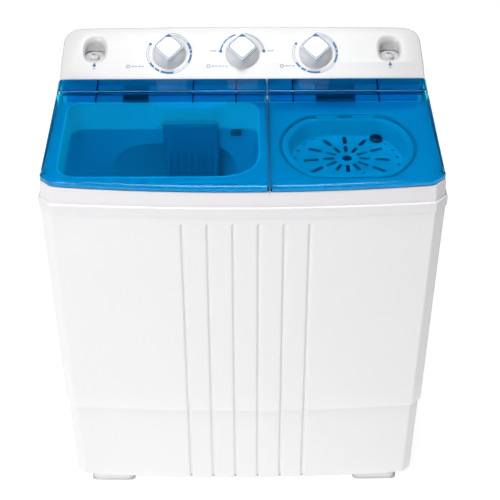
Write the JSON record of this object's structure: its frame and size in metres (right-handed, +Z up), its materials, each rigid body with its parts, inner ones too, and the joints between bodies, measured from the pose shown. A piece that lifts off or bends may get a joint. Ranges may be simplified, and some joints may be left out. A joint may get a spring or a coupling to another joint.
{
  "type": "twin tub washer",
  "caption": "Twin tub washing machine: wash tub and spin drier side by side, hinged clear lids, sloping console with knobs.",
  "frame": {"origin": "on the floor, under the middle of the machine", "axes": "+Z up, -Y the front with the grooves, +X to the spin drier side"},
  "size_m": [0.669, 0.4013, 0.7804],
  "materials": {
    "white_plastic": "satin white",
    "tub_plastic": "satin",
    "blue_clear": "clear tinted plastic",
    "blue_plastic": "satin",
    "grey_plastic": "matt",
    "black_plastic": "matt",
    "rubber": "matt",
    "steel": "brushed",
    "zinc": "plated",
    "motor_can": "painted"
  },
  "bodies": {
    "machine": {"cabinet": "white_plastic", "base": "white_plastic", "foot_front_left": "white_plastic", "foot_front_right": "white_plastic", "foot_rear_left": "white_plastic", "foot_rear_right": "white_plastic", "rear_cover": "white_plastic", "top_frame": "white_plastic", "console_front": "white_plastic", "console_back": "white_plastic", "water_inlet_left": "white_plastic", "water_inlet_right": "white_plastic", "wash_tub": "tub_plastic", "wash_tub_walls": "tub_plastic", "spin_casing": "tub_plastic", "wash_lid_strip": "blue_clear", "spin_lid_strip": "blue_clear", "wash_selector": "grey_plastic", "drain_valve_body": "grey_plastic", "drain_outlet": "grey_plastic", "wash_timer": "black_plastic", "spin_timer": "black_plastic", "capacitor": "black_plastic", "lid_switch": "black_plastic", "wash_drain_hose": "black_plastic", "outlet_hose": "black_plastic", "cord_gland": "rubber", "wash_belt": "rubber", "spin_seal": "rubber", "suspension_spring_1": "steel", "suspension_spring_2": "steel", "suspension_spring_3": "steel", "wash_lid_hinge_pin": "steel", "spin_lid_hinge_pin": "steel", "rear_cover_screw_1": "zinc", "rear_cover_screw_2": "zinc", "wash_bearing_housing": "zinc", "wash_motor": "motor_can", "spin_motor": "motor_can"},
    "wash_lid": {"wash_lid": "blue_clear"},
    "spin_lid": {"spin_lid": "blue_clear"},
    "spin_inner_lid": {"spin_inner_lid": "white_plastic"},
    "wash_timer_knob": {"wash_timer_knob": "white_plastic", "wash_timer_shaft": "steel"},
    "wash_selector_knob": {"wash_selector_knob": "white_plastic", "wash_selector_shaft": "steel"},
    "spin_timer_knob": {"spin_timer_knob": "white_plastic", "spin_timer_shaft": "steel"},
    "pulsator": {"pulsator": "blue_plastic", "pulsator_screw": "steel", "wash_shaft": "steel", "wash_pulley": "grey_plastic"},
    "motor_pulley": {"motor_pulley": "grey_plastic", "motor_shaft": "steel"},
    "spin_basket": {"spin_basket": "tub_plastic", "spin_shaft": "steel", "brake_drum": "zinc"},
    "brake_arm": {"brake_arm": "zinc"},
    "drain_plunger": {"drain_valve_plunger": "blue_plastic"},
    "lint_filter": {"lint_filter": "tub_plastic"}
  },
  "joints": [
    {"name": "wash_lid_hinge", "type": "hinge", "parent": "machine", "child": "wash_lid", "pos_m": [0, 0.072, 0.7142], "axis": [-1, 0, 0], "range_deg": [0, 100]},
    {"name": "spin_lid_hinge", "type": "hinge", "parent": "machine", "child": "spin_lid", "pos_m": [0.18, 0.072, 0.7142], "axis": [-1, 0, 0], "range_deg": [0, 100]},
    {"name": "spin_inner_lid_hinge", "type": "hinge", "parent": "machine", "child": "spin_inner_lid", "pos_m": [0.177, 0.026, 0.6892], "axis": [-1, 0, 0], "range_deg": [0, 92]},
    {"name": "wash_timer_turn", "type": "hinge", "parent": "machine", "child": "wash_timer_knob", "pos_m": [-0.1295, 0.15175, 0.74433], "axis": [0, -0.5299, 0.848], "range_deg": [-300, 0]},
    {"name": "wash_selector_turn", "type": "hinge", "parent": "machine", "child": "wash_selector_knob", "pos_m": [0, 0.15175, 0.74433], "axis": [0, -0.5299, 0.848], "range_deg": [-90, 90]},
    {"name": "spin_timer_turn", "type": "hinge", "parent": "machine", "child": "spin_timer_knob", "pos_m": [0.1295, 0.15175, 0.74433], "axis": [0, -0.5299, 0.848], "range_deg": [-300, 0]},
    {"name": "pulsator_spin", "type": "hinge", "parent": "machine", "child": "pulsator", "pos_m": [-0.125, -0.025, 0.33], "axis": [0, 0, 1], "continuous": true},
    {"name": "motor_spin", "type": "hinge", "parent": "machine", "child": "motor_pulley", "pos_m": [-0.24, 0.08, 0.241], "axis": [0, 0, 1], "continuous": true},
    {"name": "basket_spin", "type": "hinge", "parent": "machine", "child": "spin_basket", "pos_m": [0.177, -0.062, 0.34], "axis": [0, 0, 1], "continuous": true},
    {"name": "brake_swing", "type": "hinge", "parent": "machine", "child": "brake_arm", "pos_m": [0.239, 0.022, 0.217], "axis": [0, 0, -1], "range_deg": [0, 4]},
    {"name": "drain_plunger_lift", "type": "slide", "parent": "machine", "child": "drain_plunger", "axis": [0, 0, 1], "range_m": [-0.005, 0.005]},
    {"name": "lint_filter_lift_off", "type": "slide", "parent": "machine", "child": "lint_filter", "axis": [0, -1, 0], "range_m": [0, 0.04]}
  ],
  "couplings": [
    {"joint": "spin_inner_lid_hinge", "follows": "spin_lid_hinge", "ratio": 0.9},
    {"joint": "brake_swing", "follows": "spin_lid_hinge", "ratio": 0.03},
    {"joint": "motor_spin", "follows": "pulsator_spin", "ratio": 2.6667},
    {"joint": "drain_plunger_lift", "follows": "wash_selector_turn", "m_per_rad": -0.0025}
  ]
}
